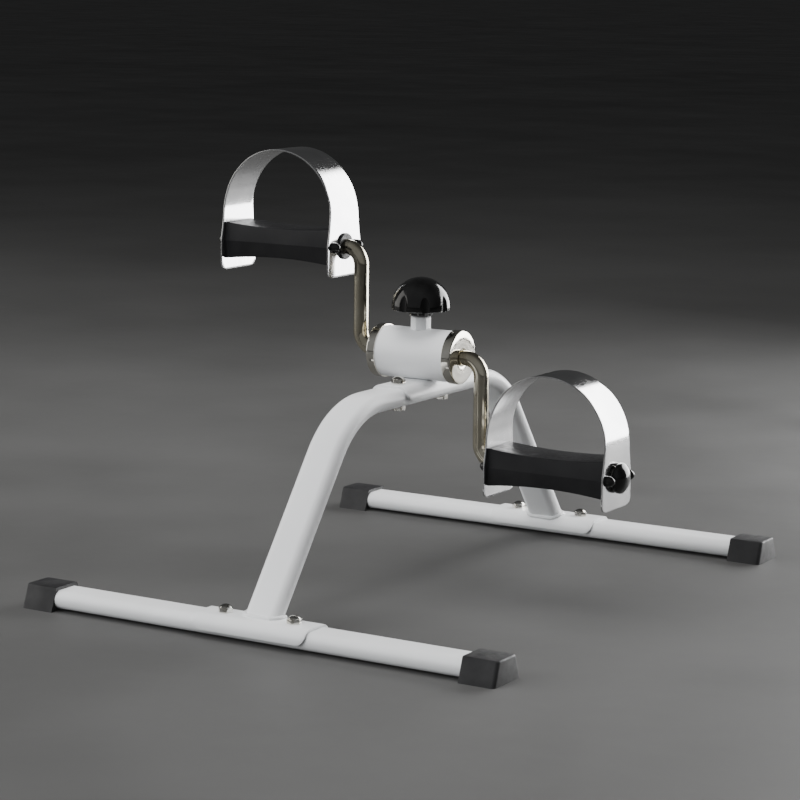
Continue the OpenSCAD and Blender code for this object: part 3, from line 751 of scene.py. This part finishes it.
face = half_len + STRAP_T
bore_r = rod_r + RUNNING_GAP
for hand, (mid_x, axle_z, side) in pedal.items():
    low, high = node_box(hand + "_strap_screws")
    stud_h = (high.x - low.x) / 2 - face
    bm = bmesh.new()
    for way in (-1, 1):
        for y in (-STUD_GAP / 2, STUD_GAP / 2):
            before = len(bm.verts)
            lathe(bm, [(0, -STUD_SHANK), (STUD_SHANK_R, -STUD_SHANK), (STUD_SHANK_R, 0), (STUD_R, 0),
                       (STUD_R, STUD_WALL), (STUD_R - 1, STUD_BROW), (STUD_TIP_R, stud_h), (0, stud_h)],
                  closed=False, soften={3: 0.3, 4: 1.2, 5: 1.6, 6: 0.6}, steps=32)
            lay_along_x(bm, fresh(bm, before), way, (mid_x + way * face, y, axle_z))
    finish_piece(bm, hand + "_studs", gloss, hand + "_pedal",
                 [hand + "_strap_screws"])

    bm = bmesh.new()
    for way in (-1, 1):
        before = len(bm.verts)
        inner_end = [(bore_r, half_len - BUSH_LEN), (HUB_R, half_len - BUSH_LEN), (HUB_R, face)]
        if way == side:
            lathe(bm, inner_end + [(bore_r, face)], soften={2: 0.3}, steps=64)
        else:
            lathe(bm, inner_end + [(FLANGE_R, face), (FLANGE_R, face + FLANGE_T),
                                   (bore_r, face + FLANGE_T)], soften={4: 0.8}, steps=64)
        lay_along_x(bm, fresh(bm, before), way, (mid_x, 0, axle_z))
    finish_piece(bm, hand + "_bushes", pedal_black, hand + "_pedal",
                 [hand + "_pedal_bushes"])

    low, high = node_box(hand + "_axle_cap")
    cap_r = (high.z - low.z) / 2
    bm = bmesh.new()
    lathe(bm, ball_arc(DOME_BALL_R, cap_r, high.x - low.x, 12)
          + [(cap_r, 0.5), (cap_r - 0.5, 0), (rod_r, 0), (rod_r, DOME_SOCKET), (0, DOME_SOCKET)],
          closed=False, soften={12: 0.8, 13: 0.3}, steps=96)
    lay_along_x(bm, bm.verts, side, (high.x if side < 0 else low.x, 0, axle_z))
    finish_piece(bm, hand + "_axle_dome", gloss, "crank", [hand + "_axle_cap"])

# ---- Axle washers ----
# A thin zinc-plated washer on each axle, between the pedal's outer bush and the dome. It
# stands 3 mm out from the rod all round.

WASHER_BAND, WASHER_T = 3, 1

low, high = node_box("axle_washers")
bm = bmesh.new()
for mid_x, axle_z, side in pedal.values():
    before = len(bm.verts)
    lathe(bm, [(rod_r, 0), (rod_r + WASHER_BAND, 0), (rod_r + WASHER_BAND, WASHER_T),
               (rod_r, WASHER_T)], soften={1: 0.2, 2: 0.2}, steps=48)
    spot = (low.x if side < 0 else high.x - WASHER_T, 0, axle_z)
    lay_along_x(bm, fresh(bm, before), 1, spot)
finish_piece(bm, "washers", zinc, "crank", ["axle_washers"])

# ---- Tension knob ----
# A mushroom-shaped knob of glossy black plastic over a short hub. Eight finger scallops are
# moulded into its rim, and the metal screw is fixed in it.

LOBES = 8
FIRST_SCALLOP = 38.4
HUB_LOW_R, HUB_H = 9.8, 4.5
SCALLOP_R, SCALLOP_DEPTH = 4.5, 2.0
SCREW_SOCKET_R = 3.9

low, high = node_box("tension_knob")
knob_r = (high.y - low.y) / 2
knob_h = high.z - low.z - HUB_H
dome_r = (knob_r ** 2 + knob_h ** 2) / (2 * knob_h)
dome_mid = HUB_H + knob_h - dome_r
arc_end = math.acos((HUB_H + 0.4 - dome_mid) / dome_r)
arc = [arc_end * k / 48 for k in range(49)]
outline = [(dome_r * math.sin(a), dome_mid + dome_r * math.cos(a)) for a in arc]
bm = bmesh.new()
lathe(bm, outline + [(knob_r - 1.4, HUB_H), (HUB_LOW_R + 0.6, HUB_H + 0.6), (HUB_LOW_R, HUB_H - 1),
                     (HUB_LOW_R - 0.6, 0), (SCREW_SOCKET_R, 0), (SCREW_SOCKET_R, HUB_H), (0, HUB_H)],
      closed=False, soften={48: 0.35, 52: 0.9}, steps=288)
scallop_mid = knob_r - SCALLOP_DEPTH + SCALLOP_R
for v in bm.verts:
    r = math.hypot(v.co.x, v.co.y)
    if r > HUB_LOW_R + 3:
        turn = math.degrees(math.atan2(v.co.y, v.co.x)) - FIRST_SCALLOP
        off = math.radians((turn + 180 / LOBES) % (360 / LOBES) - 180 / LOBES)
        reach = SCALLOP_R ** 2 - (scallop_mid * math.sin(off)) ** 2
        if reach > 0:
            edge = scallop_mid * math.cos(off) - math.sqrt(reach)
            deep = max(0.0, r - edge)
            v.co.x -= deep * v.co.x / r
            v.co.y -= deep * v.co.y / r
bmesh.ops.translate(bm, verts=bm.verts, vec=(0, 0, low.z))
finish_piece(bm, "knob", gloss, "knob", ["tension_knob"], crease=32)

# ---- Hidden works ----
# The tension screw, weld nuts, shaft bushes, collars and the two brake blocks sit inside the
# tube, bars and barrel. They keep their machined shapes and take their own finishes.

screw_steel, tree, shader = coat_material("screw_steel", (0.66, 0.65, 0.62), 1.0, 0.25)
vary_colour(tree, shader, object_noise(tree, 300), (0.55, 0.54, 0.50), (0.70, 0.69, 0.66))
coords = tree.nodes.new("ShaderNodeTexCoord")
thread = tree.nodes.new("ShaderNodeTexWave")
thread.bands_direction = "Z"
thread.inputs["Scale"].default_value = 250
tree.links.new(coords.outputs["Object"], thread.inputs["Vector"])
raise_grain(tree, shader, thread.outputs["Fac"], 0.5, 0.8)

plain_steel, tree, shader = coat_material("turned_steel", (0.42, 0.42, 0.41), 1.0, 0.34)
vary_colour(tree, shader, object_noise(tree, 200), (0.34, 0.33, 0.32), (0.48, 0.48, 0.47))
vary_roughness(tree, shader, object_noise(tree, 700), 0.26, 0.44)
raise_grain(tree, shader, object_noise(tree, 1500), 0.04, 0.2)

nylon, tree, shader = coat_material("ivory_nylon", (0.72, 0.68, 0.56), 0.0, 0.42)
vary_colour(tree, shader, object_noise(tree, 120), (0.66, 0.62, 0.50), (0.76, 0.72, 0.61))
vary_roughness(tree, shader, object_noise(tree, 500), 0.36, 0.52)
raise_grain(tree, shader, object_noise(tree, 1300), 0.05, 0.2)

friction, tree, shader = coat_material("brake_lining", (0.16, 0.09, 0.055), 0.0, 0.8)
vary_colour(tree, shader, object_noise(tree, 800, detail=8), (0.09, 0.05, 0.03), (0.24, 0.14, 0.08))
vary_roughness(tree, shader, object_noise(tree, 900), 0.7, 0.9)
raise_grain(tree, shader, object_noise(tree, 1100, detail=6), 0.3, 0.5)

works = {"tension_screw": screw_steel, "foot_weld_nuts": plain_steel, "shaft_collars": plain_steel,
         "left_shaft_bush": nylon, "right_shaft_bush": nylon, "lower_brake_block": friction,
         "upper_brake_block": friction}
for node, material in works.items():
    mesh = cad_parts[node].data
    mesh.materials.clear()
    mesh.materials.append(material)

# ---- Floor, lights and camera ----
# A wide dark floor in a dim room. Two soft boxes show in the bright metal, two more lights
# only fill, and the camera looks from the front right, a little above the knob's height.

floor_paint, tree, shader = coat_material("studio_floor", (0.07, 0.07, 0.069), 0.0, 0.6)
vary_colour(tree, shader, object_noise(tree, 1.2, detail=6), (0.058, 0.058, 0.057), (0.082, 0.082, 0.081))
vary_roughness(tree, shader, object_noise(tree, 5, detail=6), 0.5, 0.7)
raise_grain(tree, shader, object_noise(tree, 90, detail=4), 0.4, 0.1)
FLOOR_REACH = 60.0
bm = bmesh.new()
bmesh.ops.create_grid(bm, x_segments=1, y_segments=1, size=FLOOR_REACH)
mesh = bpy.data.meshes.new("studio_floor")
bm.to_mesh(mesh)
bm.free()
mesh.materials.append(floor_paint)
floor = bpy.data.objects.new("studio_floor", mesh)
bpy.context.scene.collection.objects.link(floor)

sky = bpy.data.worlds.new("studio")
bpy.context.scene.world = sky
sky.use_nodes = True
backdrop = sky.node_tree.nodes["Background"]
facing = sky.node_tree.nodes.new("ShaderNodeTexCoord")
split = sky.node_tree.nodes.new("ShaderNodeSeparateXYZ")
sky.node_tree.links.new(facing.outputs["Generated"], split.inputs["Vector"])
fade = sky.node_tree.nodes.new("ShaderNodeMapRange")
fade.interpolation_type = "SMOOTHSTEP"
fade.inputs["From Min"].default_value = 0.35
fade.inputs["From Max"].default_value = -0.75
fade.inputs["To Min"].default_value = 0.05
fade.inputs["To Max"].default_value = 0.22
sky.node_tree.links.new(split.outputs["Y"], fade.inputs["Value"])
sky.node_tree.links.new(fade.outputs["Result"], backdrop.inputs["Strength"])
backdrop.inputs["Color"].default_value = (0.98, 0.99, 1.0, 1)


def soft_box(name, spot, aim, size, power, tint=(1, 1, 1), mirrored=True):
    """An area light at spot, facing aim, in metres and watts, that may show in shiny parts."""
    lamp = bpy.data.lights.new(name, "AREA")
    lamp.shape = "RECTANGLE"
    lamp.size, lamp.size_y = size
    lamp.energy = power
    lamp.color = tint
    box = bpy.data.objects.new(name, lamp)
    box.location = spot
    box.rotation_euler = (Vector(spot) - Vector(aim)).to_track_quat("Z", "Y").to_euler()
    box.visible_glossy = mirrored
    box.visible_camera = False
    bpy.context.scene.collection.objects.link(box)


soft_box("back_right_box", (0.7, 1.32, 0.62), (0.35, 0, 0.6), (1.4, 1.2), 52)
soft_box("left_box", (-2.2, -0.7, 0.9), (0, 0, 0.3), (2.0, 1.8), 16, (1.0, 0.98, 0.94))
soft_box("overhead", (-0.2, 0, 2.4), (0, 0, 0.1), (1.6, 1.6), 56, (1.0, 0.99, 0.98), mirrored=False)
soft_box("left_front", (-1.2, -2.2, 1.3), (0, 0, 0.15), (2.0, 2.0), 66, (0.98, 0.99, 1.0),
         mirrored=False)

AZIMUTH, ELEVATION, ROLL = (math.radians(a) for a in (30.97, 9.52, 0.71))
CAMERA_SPOT = Vector((1.0397, -1.7627, 0.4894))
LENS = 118.44
back = Vector((math.sin(AZIMUTH) * math.cos(ELEVATION), -math.cos(AZIMUTH) * math.cos(ELEVATION),
               math.sin(ELEVATION)))
level_right = Vector((math.cos(AZIMUTH), math.sin(AZIMUTH), 0))
level_up = back.cross(level_right)
right = level_right * math.cos(ROLL) + level_up * math.sin(ROLL)
up = back.cross(right)
lens = bpy.data.cameras.new("camera")
lens.lens = LENS
lens.sensor_width = 36
lens.clip_end = 200
camera = bpy.data.objects.new("camera", lens)
camera.matrix_world = Matrix.Translation(CAMERA_SPOT) @ Matrix((right, up, back)).transposed().to_4x4()
bpy.context.scene.collection.objects.link(camera)
bpy.context.scene.camera = camera
